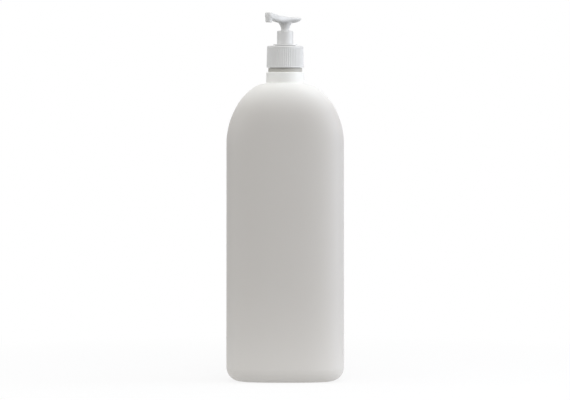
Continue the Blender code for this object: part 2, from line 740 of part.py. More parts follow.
def make_head(material, parent):
    """The pump head: pad, spout and nozzle in one, with its column and the duct inside."""
    rings = [head_ring(*station) for station in head_stations()]
    head = place("head", lofted_mesh("head", rings), material, parent)
    combine(head, helper("head_column_form", head_column_mesh(), parent), "UNION")

    nozzle_x = SPOUT_REACH - NOZZLE_SETBACK - NOZZLE_RADIUS
    spout_top, spout_underside = spout_heights(nozzle_x)
    nozzle_start = Vector((nozzle_x, 0.0, (spout_top + spout_underside) / 2))
    nozzle_end = Vector((nozzle_x, 0.0, spout_underside - NOZZLE_DROP))
    nozzle = rod_mesh("nozzle_form", nozzle_start, nozzle_end, NOZZLE_RADIUS, HEAD_SIDES)
    combine(head, helper("nozzle_form", nozzle, parent), "UNION")
    combine(head, helper("head_bore_form", head_bore_mesh(), parent), "DIFFERENCE")

    duct_start = Vector((0.0, 0.0, DUCT_HEIGHT))
    duct_bend = Vector((nozzle_x, 0.0, duct_start.z + SPOUT_RISE * 0.8))
    overlap = Vector((0.0, 0.0, DUCT_RADIUS * 0.6))
    outlet_radius = NOZZLE_RADIUS - NOZZLE_WALL
    run = rod_mesh("duct_run_form", duct_start, duct_bend, DUCT_RADIUS, 16)
    drop = rod_mesh("duct_drop_form", duct_bend + overlap, nozzle_end - overlap, outlet_radius, 16)
    combine(head, helper("duct_run_form", run, parent), "DIFFERENCE")
    combine(head, helper("duct_drop_form", drop, parent), "DIFFERENCE")
    return head


def build():
    clear_scene()
    white_hdpe = plastic("white_hdpe", (0.78, 0.765, 0.73), 0.42)
    white_pp = plastic("white_polypropylene", (0.80, 0.80, 0.79), 0.32)
    clear_pp = plastic("natural_polypropylene", (0.74, 0.75, 0.75), 0.30)
    soft_pe = plastic("soft_polyethylene", (0.72, 0.72, 0.72), 0.50)
    foam_pe = plastic("gasket_foam", (0.82, 0.82, 0.80), 0.75)
    steel = plastic("stainless_steel", (0.62, 0.62, 0.63), 0.25, 1.0)

    pump_axis = place("pump_axis", None)
    head_axis = place("head_axis", None, parent=pump_axis)
    head_axis.rotation_euler = (0.0, 0.0, HEAD_TURN)

    make_bottle(white_hdpe)
    make_closure(white_pp, pump_axis)
    make_gasket(foam_pe, pump_axis)
    make_housing(clear_pp, pump_axis)
    make_chaplet(white_pp, pump_axis)
    make_dip_tube(clear_pp, pump_axis)
    make_spring(steel, pump_axis)
    make_piston(soft_pe, pump_axis)
    make_stem(white_pp, head_axis)
    make_piston_seat(white_pp, head_axis)
    make_head(white_pp, head_axis)
    inlet = ball_height(INLET_BALL_RADIUS, INLET_HOLE_RADIUS, INLET_CONE_LOW)
    make_ball("inlet_ball", INLET_BALL_RADIUS, inlet, steel, pump_axis)
    cone_low = STEM_TOP - OUTLET_SEAT_DEPTH
    outlet = ball_height(OUTLET_BALL_RADIUS, OUTLET_HOLE_RADIUS, cone_low)
    make_ball("outlet_ball", OUTLET_BALL_RADIUS, outlet, steel, head_axis)


build()
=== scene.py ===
import math

import bmesh
import bpy
import numpy as np
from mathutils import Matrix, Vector


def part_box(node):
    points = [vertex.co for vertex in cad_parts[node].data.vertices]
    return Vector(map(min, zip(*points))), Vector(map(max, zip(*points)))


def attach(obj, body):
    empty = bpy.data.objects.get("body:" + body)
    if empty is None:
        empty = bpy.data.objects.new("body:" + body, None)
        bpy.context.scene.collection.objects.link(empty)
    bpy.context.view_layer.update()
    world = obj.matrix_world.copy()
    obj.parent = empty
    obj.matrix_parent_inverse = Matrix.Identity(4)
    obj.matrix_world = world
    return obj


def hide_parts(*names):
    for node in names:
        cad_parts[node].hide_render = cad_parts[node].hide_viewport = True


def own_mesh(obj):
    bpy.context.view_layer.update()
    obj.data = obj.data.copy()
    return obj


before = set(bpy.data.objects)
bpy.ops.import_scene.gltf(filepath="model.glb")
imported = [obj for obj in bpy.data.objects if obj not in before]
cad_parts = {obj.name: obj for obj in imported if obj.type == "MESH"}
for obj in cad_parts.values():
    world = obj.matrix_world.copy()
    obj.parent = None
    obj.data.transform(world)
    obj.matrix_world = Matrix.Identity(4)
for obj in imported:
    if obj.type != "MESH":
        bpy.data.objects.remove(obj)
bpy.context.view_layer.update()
print("frame loaded:", len(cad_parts), "nodes")

mm = 0.001
tau = 2.0 * math.pi


# Colours are written as the eye reads them, in hex, and turned linear here:
# c / 12.92 below 0.04045, else ((c + 0.055) / 1.055) ^ 2.4.
def linear(hexText, alpha=1.0):
    channels = [int(hexText[place:place + 2], 16) / 255.0 for place in (1, 3, 5)]
    turned = [c / 12.92 if c <= 0.04045 else ((c + 0.055) / 1.055) ** 2.4 for c in channels]
    return (*turned, alpha)


# Adds one node, sets its inputs and fields, and links sockets into it.
def addNode(tree, kind, inputs=None, links=None, **fields):
    node = tree.nodes.new(kind)
    for field, value in fields.items():
        setattr(node, field, value)
    for socket, value in (inputs or {}).items():
        node.inputs[socket].default_value = value
    for socket, source in (links or {}).items():
        tree.links.new(source, node.inputs[socket])
    return node


# A material with one Principled shader wired to its output.
def newMaterial(name):
    material = bpy.data.materials.new(name)
    material.use_nodes = True
    tree = material.node_tree
    tree.nodes.clear()
    output = addNode(tree, "ShaderNodeOutputMaterial")
    shader = addNode(tree, "ShaderNodeBsdfPrincipled")
    tree.links.new(shader.outputs["BSDF"], output.inputs["Surface"])
    return material, tree, shader


# A smooth 0 to 1 step: t^2 (3 - 2t) of the clipped share between low and high.
def smoothStep(values, low, high):
    share = np.clip((values - low) / (high - low), 0.0, 1.0)
    return share * share * (3.0 - 2.0 * share)


# Unit normals of a grid, from the cross product of its two directions.
def gridNormals(points):
    along = np.gradient(points, axis=0)
    wrapped = np.concatenate([points[:, -1:], points, points[:, :1]], axis=1)
    around = (wrapped[:, 2:] - wrapped[:, :-2]) / 2.0
    normals = np.cross(around, along)
    length = np.linalg.norm(normals, axis=2, keepdims=True)
    return normals / np.maximum(length, 1e-12)


# A mesh object from a grid of points: rows run along the profile, columns go around.
def gridPiece(name, points, loop=False, sharpDegrees=40.0):
    rows, columns = points.shape[:2]
    index = np.arange(rows * columns).reshape(rows, columns)
    low = index if loop else index[:-1]
    high = np.roll(index, -1, axis=0) if loop else index[1:]
    quads = np.stack([low, np.roll(low, -1, axis=1), np.roll(high, -1, axis=1), high], axis=-1)
    mesh = bpy.data.meshes.new(name)
    mesh.from_pydata(points.reshape(-1, 3).tolist(), [], quads.reshape(-1, 4).tolist())
    tidy = bmesh.new()
    tidy.from_mesh(mesh)
    bmesh.ops.remove_doubles(tidy, verts=tidy.verts, dist=1e-7)
    bmesh.ops.recalc_face_normals(tidy, faces=tidy.faces)
    tidy.to_mesh(mesh)
    tidy.free()
    mesh.shade_smooth()
    mesh.set_sharp_from_angle(angle=math.radians(sharpDegrees))
    piece = bpy.data.objects.new(name, mesh)
    bpy.context.scene.collection.objects.link(piece)
    return piece


# A turned grid: each (radius, height) of the profile carried around Z.
def turnedGrid(profile, columns):
    profile = np.asarray(profile, float)
    angle = np.arange(columns) * tau / columns
    x = profile[:, :1] * np.cos(angle)
    y = profile[:, :1] * np.sin(angle)
    z = np.repeat(profile[:, 1:2], columns, axis=1)
    return np.stack([x, y, z], axis=-1)


# Points of a fillet: centre + radius (cos a, sin a), from one angle to another.
def arc(centreR, centreZ, radius, fromDegrees, toDegrees, steps):
    angle = np.radians(np.linspace(fromDegrees, toDegrees, steps))
    return np.stack([centreR + radius * np.cos(angle), centreZ + radius * np.sin(angle)], axis=1)


# Points start (1 - t) + end t of the straight run between two (radius, height) points,
# with both ends left out.
def run(start, end, steps):
    share = np.linspace(0.0, 1.0, steps + 2)[1:-1, None]
    return np.asarray(start) * (1.0 - share) + np.asarray(end) * share


# Gives a piece its material and its moving body, and hides the CAD nodes it stands for.
def finishPiece(piece, material, body, slotName, *replaced):
    piece.data.materials.clear()
    piece.data.materials.append(material)
    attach(piece, body)
    if replaced:
        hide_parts(*replaced)
    return piece


# Runs the modifiers of a piece into its mesh and drops its helpers.
def bakeModifiers(piece, helpers=()):
    bpy.context.view_layer.update()
    graph = bpy.context.evaluated_depsgraph_get()
    made = bpy.data.meshes.new_from_object(piece.evaluated_get(graph))
    piece.modifiers.clear()
    piece.data = made
    for helperPiece in helpers:
        bpy.data.objects.remove(helperPiece)
    return piece


# Adds the modifier that cuts a tool from a piece or joins it on.
def cutOrJoin(piece, tool, operation):
    step = piece.modifiers.new(tool.name, "BOOLEAN")
    step.object = tool
    step.operation = operation
    step.solver = "EXACT"


# Blow-moulded white HDPE: a soft, slightly waxy sheen over a sandblasted mould texture,
# with faint upright die lines and a little light passing under the skin. The colour is
# painted lighter up the shoulder to the neck, and a little lighter again at the foot: painted
# light for the top-lit shoulder, the bright neck stand and the floor's bounce on the foot,
# together with a wall that is thickest at the neck, thins out down the shoulder and is a
# little thicker again at the foot. The bead's darker colour is painted shade from the closure.
# The blast grain and the die lines are drawn coarser than real, so that they show.
hdpeSettings = dict(
    # The lighter tone and the foot's share are painted light, partly a thicker wall; the bead's
    # tone is painted shade.
    thin="#C6C3BF", thickAndLit="#EBEBE8", bead="#B7B5AF",
    thickAndLitFromMm=221.0, thickAndLitAboveMm=261.0, thickAndLitFootBelowMm=75.0, thickAndLitFootShare=0.10,
    beadMiddleMm=260.1, beadHalfMm=1.9,
    roughness=0.48, smoother=0.04, rougher=0.05, ior=1.54, specular=0.25,
    subsurface=0.12, subsurfaceRadius=(1.0, 0.95, 0.85), subsurfaceMm=2.0,
    waveMm=34.0, mottle=0.03,
    blastMm=1.1, blastLow=0.3, blastHigh=0.7, blastDepthMm=0.035, blastStrength=0.35,
    dieLineMm=2.4, dieLineStretch=40.0, dieLineDepthMm=0.05, dieLineStrength=0.10,
)


def blowMouldedHdpe():
    s = hdpeSettings
    material, tree, shader = newMaterial("blowMouldedHdpe")
    where = addNode(tree, "ShaderNodeTexCoord").outputs["Object"]
    stretch = addNode(tree, "ShaderNodeMapping", {"Scale": (1.0, 1.0, 1.0 / s["dieLineStretch"])},
                      {"Vector": where})
    dieLines = addNode(tree, "ShaderNodeTexNoise",
                       {"Scale": 1.0 / (s["dieLineMm"] * mm), "Detail": 2.0, "Roughness": 0.5},
                       {"Vector": stretch.outputs["Vector"]})
    wave = addNode(tree, "ShaderNodeTexNoise",
                   {"Scale": 1.0 / (s["waveMm"] * mm), "Detail": 1.0, "Roughness": 0.4},
                   {"Vector": where})
    blast = addNode(tree, "ShaderNodeTexNoise",
                    {"Scale": 1.0 / (s["blastMm"] * mm), "Detail": 3.0, "Roughness": 0.6},
                    {"Vector": where})
    height = addNode(tree, "ShaderNodeSeparateXYZ", None, {0: where})
    # Painted light: the colour lightens up the shoulder to the neck for the top-lit shoulder and
    # the bright neck stand, partly the thicker wall there.
    thickness = addNode(tree, "ShaderNodeMapRange",
                        {"From Min": s["thickAndLitFromMm"] * mm, "From Max": s["thickAndLitAboveMm"] * mm},
                        {"Value": height.outputs["Z"]}, interpolation_type="SMOOTHSTEP")
    # Painted light: the colour lightens a little towards the foot for the floor's bounce, partly
    # the thicker wall there.
    foot = addNode(tree, "ShaderNodeMapRange",
                   {"From Max": s["thickAndLitFootBelowMm"] * mm, "To Min": s["thickAndLitFootShare"], "To Max": 0.0},
                   {"Value": height.outputs["Z"]})
    white = addNode(tree, "ShaderNodeMath", None,
                    {0: thickness.outputs["Result"], 1: foot.outputs["Result"]})
    mottled = addNode(tree, "ShaderNodeMath", {1: s["mottle"]},
                      {0: wave.outputs["Fac"], 2: white.outputs["Value"]},
                      operation="MULTIPLY_ADD")
    tone = addNode(tree, "ShaderNodeMix",
                   {6: linear(s["thin"]), 7: linear(s["thickAndLit"])},
                   {0: mottled.outputs["Value"]}, data_type="RGBA")
    sheen = addNode(tree, "ShaderNodeMapRange",
                    {"From Min": s["blastLow"], "From Max": s["blastHigh"],
                     "To Min": s["roughness"] - s["smoother"],
                     "To Max": s["roughness"] + s["rougher"]},
                    {"Value": blast.outputs["Fac"]})
    lines = addNode(tree, "ShaderNodeBump",
                    {"Strength": s["dieLineStrength"], "Distance": s["dieLineDepthMm"] * mm},
                    {"Height": dieLines.outputs["Fac"]})
    grain = addNode(tree, "ShaderNodeBump",
                    {"Strength": s["blastStrength"], "Distance": s["blastDepthMm"] * mm},
                    {"Height": blast.outputs["Fac"], "Normal": lines.outputs["Normal"]})
    # Painted shade: the bead under the closure's foot is coloured darker, for the closure's shade
    # on it.
    inBeadShade = addNode(tree, "ShaderNodeMath", {1: s["beadMiddleMm"] * mm, 2: s["beadHalfMm"] * mm},
                     {0: height.outputs["Z"]}, operation="COMPARE")
    whole = addNode(tree, "ShaderNodeMix", {7: linear(s["bead"])},
                    {0: inBeadShade.outputs["Value"], 6: tone.outputs[2]}, data_type="RGBA")
    tree.links.new(whole.outputs[2], shader.inputs["Base Color"])
    tree.links.new(sheen.outputs["Result"], shader.inputs["Roughness"])
    tree.links.new(grain.outputs["Normal"], shader.inputs["Normal"])
    shader.inputs["IOR"].default_value = s["ior"]
    shader.inputs["Specular IOR Level"].default_value = s["specular"]
    shader.inputs["Subsurface Weight"].default_value = s["subsurface"]
    shader.inputs["Subsurface Radius"].default_value = s["subsurfaceRadius"]
    shader.inputs["Subsurface Scale"].default_value = s["subsurfaceMm"] * mm
    return material


# Injection-moulded white polypropylene: smoother and colder than the bottle, with weak
# flow marks and a fine spark-eroded grain that breaks up its reflections. The grain is
# drawn at 0.7 mm, coarser than real, so that it shows.
ppSettings = dict(
    colour="#D3D3D2", shade="#CECECD", roughness=0.36, uneven=0.06, ior=1.49,
    subsurface=0.06, subsurfaceMm=1.0,
    grainMm=0.7, grainDepthMm=0.015, grainStrength=0.3, flowMm=9.0,
)


def mouldedPolypropylene(name, settings):
    s = settings
    material, tree, shader = newMaterial(name)
    where = addNode(tree, "ShaderNodeTexCoord").outputs["Object"]
    flow = addNode(tree, "ShaderNodeTexNoise",
                   {"Scale": 1.0 / (s["flowMm"] * mm), "Detail": 2.0},
                   {"Vector": where})
    grain = addNode(tree, "ShaderNodeTexNoise",
                    {"Scale": 1.0 / (s["grainMm"] * mm), "Detail": 3.0, "Roughness": 0.55},
                    {"Vector": where})
    tone = addNode(tree, "ShaderNodeMix",
                   {6: linear(s["colour"]), 7: linear(s["shade"])},
                   {0: flow.outputs["Fac"]}, data_type="RGBA")
    sheen = addNode(tree, "ShaderNodeMapRange",
                    {"To Min": s["roughness"] - s["uneven"],
                     "To Max": s["roughness"] + s["uneven"]},
                    {"Value": flow.outputs["Fac"]})
    bump = addNode(tree, "ShaderNodeBump",
                   {"Strength": s["grainStrength"], "Distance": s["grainDepthMm"] * mm},
                   {"Height": grain.outputs["Fac"]})
    tree.links.new(tone.outputs[2], shader.inputs["Base Color"])
    tree.links.new(sheen.outputs["Result"], shader.inputs["Roughness"])
    tree.links.new(bump.outputs["Normal"], shader.inputs["Normal"])
    shader.inputs["IOR"].default_value = s["ior"]
    shader.inputs["Subsurface Weight"].default_value = s["subsurface"]
    shader.inputs["Subsurface Radius"].default_value = (1.0, 1.0, 1.0)
    shader.inputs["Subsurface Scale"].default_value = s["subsurfaceMm"] * mm
    return material


# Unpigmented polypropylene, moulded for the housing and extruded for the dip tube: milky,
# a touch cool, with more light passing under the skin.
naturalSettings = dict(
    ppSettings, colour="#D9DCDB", shade="#CDD2D2", roughness=0.35, subsurface=0.35,
    grainMm=0.9, grainDepthMm=0.012, flowMm=14.0,
)

# Injection-moulded soft LDPE of the piston: waxy and dull, so its roughness is higher.
ldpeSettings = dict(
    ppSettings, colour="#DADAD6", shade="#D2D2CE", roughness=0.48, ior=1.51, subsurface=0.20,
    grainMm=0.6, grainDepthMm=0.020, flowMm=6.0,
)


# Foamed polyethylene gasket, die-cut: closed cells 0.25 mm across leave a matt, pitted face.
foamSettings = dict(
    pitShade="#CFCFCB", face="#E6E6E2", roughness=0.85, cellMm=0.25, pitDepthMm=0.05, pitStrength=0.5,
)


def foamedPolyethylene():
    s = foamSettings
    material, tree, shader = newMaterial("foamedPolyethylene")
    where = addNode(tree, "ShaderNodeTexCoord").outputs["Object"]
    cells = addNode(tree, "ShaderNodeTexVoronoi", {"Scale": 1.0 / (s["cellMm"] * mm)},
                    {"Vector": where})
    # Painted shade: the hollows of the cells are coloured darker than the face.
    tone = addNode(tree, "ShaderNodeMix", {6: linear(s["pitShade"]), 7: linear(s["face"])},
                   {0: cells.outputs["Distance"]}, data_type="RGBA")
    bump = addNode(tree, "ShaderNodeBump",
                   {"Strength": s["pitStrength"], "Distance": s["pitDepthMm"] * mm},
                   {"Height": cells.outputs["Distance"]})
    tree.links.new(tone.outputs[2], shader.inputs["Base Color"])
    tree.links.new(bump.outputs["Normal"], shader.inputs["Normal"])
    shader.inputs["Roughness"].default_value = s["roughness"]
    return material


# Stainless steel: the spring's drawn wire has a dull grey sheen, and the polished balls have
# small bright glints. Scratches vary the roughness between its smoother and rougher share,
# and are drawn coarser than real.
steelSettings = dict(
    wire=dict(name="drawnStainlessWire", roughness=0.42, scratchMm=0.5),
    ball=dict(name="polishedStainlessBall", roughness=0.12, scratchMm=1.5),
    dark="#B9BABC", bright="#CFD0D2", smoother=0.7, rougher=1.4,
)


def stainlessSteel(finish):
    s = steelSettings
    material, tree, shader = newMaterial(finish["name"])
    where = addNode(tree, "ShaderNodeTexCoord").outputs["Object"]
    scratches = addNode(tree, "ShaderNodeTexNoise",
                        {"Scale": 1.0 / (finish["scratchMm"] * mm), "Detail": 4.0,
                         "Roughness": 0.7},
                        {"Vector": where})
    tone = addNode(tree, "ShaderNodeMix", {6: linear(s["dark"]), 7: linear(s["bright"])},
                   {0: scratches.outputs["Fac"]}, data_type="RGBA")
    sheen = addNode(tree, "ShaderNodeMapRange",
                    {"To Min": finish["roughness"] * s["smoother"],
                     "To Max": finish["roughness"] * s["rougher"]},
                    {"Value": scratches.outputs["Fac"]})
    tree.links.new(tone.outputs[2], shader.inputs["Base Color"])
    tree.links.new(sheen.outputs["Result"], shader.inputs["Roughness"])
    shader.inputs["Metallic"].default_value = 1.0
    return material


bottleMaterial = blowMouldedHdpe()
pumpMaterial = mouldedPolypropylene("injectionMouldedPp", ppSettings)
naturalMaterial = mouldedPolypropylene("naturalPp", naturalSettings)
ldpeMaterial = mouldedPolypropylene("softLdpe", ldpeSettings)
gasketMaterial = foamedPolyethylene()
wireMaterial = stainlessSteel(steelSettings["wire"])
ballMaterial = stainlessSteel(steelSettings["ball"])
print("materials made")


# The bottle is one blown wall: an oval body with a push-up in its base, a shoulder, and a
# round neck with its bead and thread. The body stands back by the parting line's height,
# so that the line stays inside the CAD part's box.
_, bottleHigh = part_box("bottle")
seamHeight = 0.06 * mm
bottleSettings = dict(
    halfWidth=bottleHigh.x - seamHeight, halfDepth=bottleHigh.y - seamHeight,
    rim=bottleHigh.z, squareness=2.6, draft=0.2 * mm, wall=0.9 * mm,
    heel=12.0 * mm, standRing=4.0 * mm, pushUp=3.5 * mm,
    shoulderTop=248.5 * mm, sideShoulder=49.0 * mm, frontShoulder=35.0 * mm,
    rise=1.85, spread=1.68,
    standRadius=15.8 * mm, standHeight=9.5 * mm, standFillet=1.5 * mm, edge=0.6 * mm,
    beadRadius=14.1 * mm, beadTop=261.5 * mm, neckRadius=12.7 * mm, corner=0.25 * mm,
    threadStart=5.2 * mm, threadPitch=4.23 * mm, threadTurns=1.5,
    threadWidth=2.4 * mm, threadHeight=1.0 * mm,
    seamWidth=0.35 * mm, seamLow=3.0 * mm, seamFull=8.0 * mm, seamFromAxis=5.0 * mm,
    pinchWidth=0.6 * mm, pinchHeight=0.30 * mm, pinchBelow=5.0 * mm,
    pinchHalfLength=30.0 * mm, pinchRunOut=3.0 * mm,
    ripple=0.10 * mm, rippleUp=31.0 * mm, rippleAcross=17.0 * mm, ripplePhase=0.7,
    rippleLow=(14.0 * mm, 40.0 * mm), rippleHigh=(190.0 * mm, 225.0 * mm),
    baseRows=15, heelRows=16, wallRows=24, shoulderRows=44, columns=256, sideCrowding=0.94,
)


# (half width, half depth, squareness, height) of each row, from the base's middle to the rim.
def bottleProfile(s):
    rows = []
    inset = s["heel"] + s["standRing"]
    # the push-up: z = pushUp (1 - share^4) inside the standing ring
    share = np.linspace(0.0, 1.0, s["baseRows"])
    rows.append(np.stack([(s["halfWidth"] - inset) * share, (s["halfDepth"] - inset) * share,
                          np.full(s["baseRows"], s["squareness"]),
                          s["pushUp"] * (1.0 - share**4)], axis=1))
    # the heel: a quarter circle from the standing ring up to the side wall
    turn = np.radians(np.linspace(0.0, 90.0, s["heelRows"]))
    drawIn = s["heel"] * (1.0 - np.sin(turn))
    rows.append(np.stack([s["halfWidth"] - drawIn, s["halfDepth"] - drawIn,
                          np.full(s["heelRows"], s["squareness"]),
                          s["heel"] * (1.0 - np.cos(turn))], axis=1))
    # the side wall, drawn in a little towards the shoulder
    start = s["shoulderTop"] - s["sideShoulder"]
    share = np.linspace(0.0, 1.0, s["wallRows"] + 2)[1:-1]
    rows.append(np.stack([s["halfWidth"] - s["draft"] * share, s["halfDepth"] - s["draft"] * share,
                          np.full(s["wallRows"], s["squareness"]),
                          s["heel"] + (start - s["heel"]) * share], axis=1))
    # the shoulder: width falls as cos^(2/spread) while height climbs as sin^(2/rise), the depth
    # follows a quarter ellipse, and the section turns from squarish to round
    neck = s["standRadius"] + s["standFillet"]
    turn = np.radians(np.linspace(0.0, 90.0, s["shoulderRows"]))
    fall = np.maximum(np.cos(turn), 0.0) ** (2.0 / s["spread"])
    height = start + s["sideShoulder"] * np.sin(turn) ** (2.0 / s["rise"])
    front = np.maximum(0.0, (height - s["shoulderTop"] + s["frontShoulder"]) / s["frontShoulder"])
    topWidth = s["halfWidth"] - s["draft"]
    topDepth = s["halfDepth"] - s["draft"]
    rows.append(np.stack([neck + (topWidth - neck) * fall,
                          neck + (topDepth - neck) * np.sqrt(np.maximum(0.0, 1.0 - front**2)),
                          2.0 + (s["squareness"] - 2.0) * np.sqrt(fall), height], axis=1))
    # the round neck: fillet, stand, shelf, bead and the wall that carries the thread
    standTop = s["shoulderTop"] + s["standHeight"]
    edge = s["edge"]
    corner = s["corner"]
    neckLine = np.concatenate([
        arc(neck, s["shoulderTop"] + s["standFillet"], s["standFillet"], 262.0, 180.0, 9),
        run((s["standRadius"], s["shoulderTop"] + s["standFillet"]),
            (s["standRadius"], standTop - edge), 5),
        arc(s["standRadius"] - edge, standTop - edge, edge, 0.0, 90.0, 7),
        arc(s["beadRadius"] + corner, standTop + corner, corner, 270.0, 180.0, 4),
        run((s["beadRadius"], standTop + corner), (s["beadRadius"], s["beadTop"] - edge / 2), 3),
        arc(s["beadRadius"] - edge / 2, s["beadTop"] - edge / 2, edge / 2, 0.0, 90.0, 4),
        arc(s["neckRadius"] + corner, s["beadTop"] + corner, corner, 270.0, 180.0, 4),
        run((s["neckRadius"], s["beadTop"] + corner), (s["neckRadius"], s["rim"]), 48),
        [(s["neckRadius"], s["rim"])],
    ])
    rows.append(np.stack([neckLine[:, 0], neckLine[:, 0], np.full(len(neckLine), 2.0),
                          neckLine[:, 1]], axis=1))
    return np.concatenate(rows)


# A raised helix: its middle climbs one pitch a turn, its section is a soft trapezoid, and
# each end runs out within a twelfth of a turn.
def threadRidge(angle, height, start, pitch, turns, width, tall):
    endSteepness = 12.0
    phase = np.mod(angle / tau, 1.0)
    lift = np.zeros_like(height)
    for turn in range(int(math.ceil(turns)) + 1):
        along = phase + turn
        away = np.abs(height - start - pitch * along) / (width / 2.0)
        section = smoothStep(1.0 - away, 0.0, 0.5)
        ends = np.clip(along * endSteepness, 0.0, 1.0)
        ends = ends * np.clip((turns - along) * endSteepness, 0.0, 1.0)
        lift = np.maximum(lift, tall * section * ends)
    return lift


# Each row is a superellipse: x = width |cos a|^(2/n) and y = depth |sin a|^(2/n), with the
# signs of cos a and sin a. The outer skin then gets its wall inwards.
def makeBottle():
    s = bottleSettings
    profile = bottleProfile(s)
    # the columns crowd towards the two narrow sides, where the mould halves meet
    even = np.arange(s["columns"]) * tau / s["columns"]
    angle = even - s["sideCrowding"] * np.sin(2.0 * even) / 2.0
    width, depth, power, height = (profile[:, place:place + 1] for place in range(4))
    cosine = np.cos(angle)[None, :]
    sine = np.sin(angle)[None, :]
    x = width * np.sign(cosine) * np.abs(cosine) ** (2.0 / power)
    y = depth * np.sign(sine) * np.abs(sine) ** (2.0 / power)
    z = np.repeat(height, s["columns"], axis=1)

    # the thread stands out of the neck above the bead
    radius = np.hypot(x, y)
    ridge = threadRidge(np.arctan2(y, x), z, s["shoulderTop"] + s["standHeight"] + s["threadStart"],
                        s["threadPitch"], s["threadTurns"], s["threadWidth"], s["threadHeight"])
    ridge = ridge * (z > s["beadTop"])
    stretch = (radius + ridge) / np.maximum(radius, 1e-9)
    points = np.stack([x * stretch, y * stretch, z], axis=-1)

    # the parting line runs up both narrow sides, and the pinch-off crosses the base
    normals = gridNormals(points)
    away = np.abs(y)
    seam = seamHeight * np.exp(-((away / s["seamWidth"]) ** 2))
    seam = seam * smoothStep(z, s["seamLow"], s["seamFull"]) * (z < s["beadTop"])
    seam = seam * (np.abs(x) > s["seamFromAxis"])
    insideRing = profile[:, 0:1] < s["halfWidth"] - s["heel"] - s["standRing"]
    pinch = s["pinchHeight"] * np.exp(-((away / s["pinchWidth"]) ** 2))
    pinch = pinch * (insideRing & (z < s["pinchBelow"]))
    pinch = pinch * smoothStep(s["pinchHalfLength"] - np.abs(x), 0.0, s["pinchRunOut"])
    points = points + normals * (seam + pinch)[..., None]

    # the cooled walls are never quite flat: long shallow waves drawn inwards only
    wave = np.sin(z / s["rippleUp"]) * np.cos(x / s["rippleAcross"] + s["ripplePhase"])
    wave = 0.5 + 0.5 * wave
    wall = smoothStep(z, *s["rippleLow"]) * (1.0 - smoothStep(z, *s["rippleHigh"]))
    points[..., 1] -= np.sign(y) * s["ripple"] * wave * wall * np.abs(sine) ** 2

    piece = gridPiece("bottleShell", points, sharpDegrees=50.0)
    skin = piece.modifiers.new("wall", "SOLIDIFY")
    skin.thickness = s["wall"]
    skin.offset = -1.0
    skin.use_even_offset = True
    return finishPiece(piece, bottleMaterial, "bottle", "bottle_plastic", "bottle")


makeBottle()
print("bottle made")


# The ribbed screw closure, with its female thread and the hole for the chaplet's collar.
closureLow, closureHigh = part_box("closure")
closureSettings = dict(
    radius=15.5 * mm, draft=0.4 * mm, low=closureLow.z, top=closureHigh.z, plate=1.5 * mm,
    bore=13.9 * mm, hole=8.7 * mm, edge=1.2 * mm, softEdge=0.15 * mm, hem=0.9 * mm,
    ribs=60, ribDepth=0.35 * mm, ribPower=1.5, ribColumns=8,
    ribBelowEdge=0.3 * mm, ribFoot=0.5 * mm, ribRunOut=0.7 * mm,
    stepRadius=11.6 * mm, stepSlope=0.2 * mm, stepDepth=0.15 * mm,
    threadStart=2.2 * mm, threadPitch=4.23 * mm, threadTurns=1.6,
    threadWidth=1.5 * mm, threadHeight=0.75 * mm, wallRoom=1.0 * mm, boreRoom=0.05 * mm,
)


# A closed (radius, height) line turned round Z. Outside, each of the n ribs' grooves is
# depth (1/2 - 1/2 cos(n angle))^1.5 deep, run out at the hem and under the top edge.
def makeClosure():
    s = closureSettings
    topRadius = s["radius"] - s["draft"]
    plateLow = s["top"] - s["plate"]
    hemTop = s["low"] + s["hem"]
    ribTop = s["top"] - s["edge"] - s["ribBelowEdge"]
    soft = s["softEdge"]
    stepFoot = s["top"] - s["stepDepth"]
    stepHead = s["stepRadius"] + s["stepSlope"]
    line = np.concatenate([
        arc(s["hole"] + soft, stepFoot - soft, soft, 180.0, 90.0, 4),
        run((s["hole"] + soft, stepFoot), (s["stepRadius"], stepFoot), 3),
        [(s["stepRadius"], stepFoot), (stepHead, s["top"])],
        run((stepHead, s["top"]), (topRadius - s["edge"], s["top"]), 3),
        arc(topRadius - s["edge"], s["top"] - s["edge"], s["edge"], 90.0, 0.0, 9),
        run((topRadius, s["top"] - s["edge"]), (s["radius"], hemTop), 26),
        run((s["radius"], hemTop), (s["radius"], s["low"] + soft), 2),
        arc(s["radius"] - soft, s["low"] + soft, soft, 0.0, -90.0, 4),
        arc(s["bore"] + 2 * soft, s["low"] + 2 * soft, 2 * soft, -90.0, -180.0, 5),
        run((s["bore"], s["low"] + 2 * soft), (s["bore"], plateLow), 44),
        [(s["bore"], plateLow)],
        run((s["bore"], plateLow), (s["hole"], plateLow), 3),
        [(s["hole"], plateLow)],
    ])
    columns = s["ribs"] * s["ribColumns"]
    angle = (np.arange(columns) * tau / columns)[None, :]
    radius = np.repeat(line[:, :1], columns, axis=1)
    height = np.repeat(line[:, 1:], columns, axis=1)

    outside = radius > s["bore"] + s["wallRoom"]
    groove = (0.5 - 0.5 * np.cos(s["ribs"] * angle)) ** s["ribPower"]
    zone = smoothStep(height, hemTop, hemTop + s["ribFoot"])
    zone = zone * (1.0 - smoothStep(height, ribTop - s["ribRunOut"], ribTop)) * outside
    radius = radius - s["ribDepth"] * groove * zone

    # the female thread stands into the bore
    inBore = np.abs(radius - s["bore"]) < s["boreRoom"]
    ridge = threadRidge(angle + math.pi, height, s["low"] + s["threadStart"], s["threadPitch"],
                        s["threadTurns"], s["threadWidth"], s["threadHeight"])
    radius = radius - ridge * inBore
    points = np.stack([radius * np.cos(angle), radius * np.sin(angle), height], axis=-1)
    piece = gridPiece("closureShell", points, loop=True, sharpDegrees=38.0)
    return finishPiece(piece, pumpMaterial, "closure", "pump_plastic", "closure")


makeClosure()
print("closure made")


# The chaplet is the collar in the closure's top: it holds the stem and guides the skirt.
chapletLow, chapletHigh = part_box("chaplet")
chapletSettings = dict(
    low=chapletLow.z, top=chapletHigh.z, flangeRadius=10.0 * mm, flange=1.0 * mm,
    bore=7.1 * mm, sleeve=8.4 * mm, floor=1.2 * mm, stemHole=3.8 * mm, edge=0.35 * mm,
    columns=96,
)


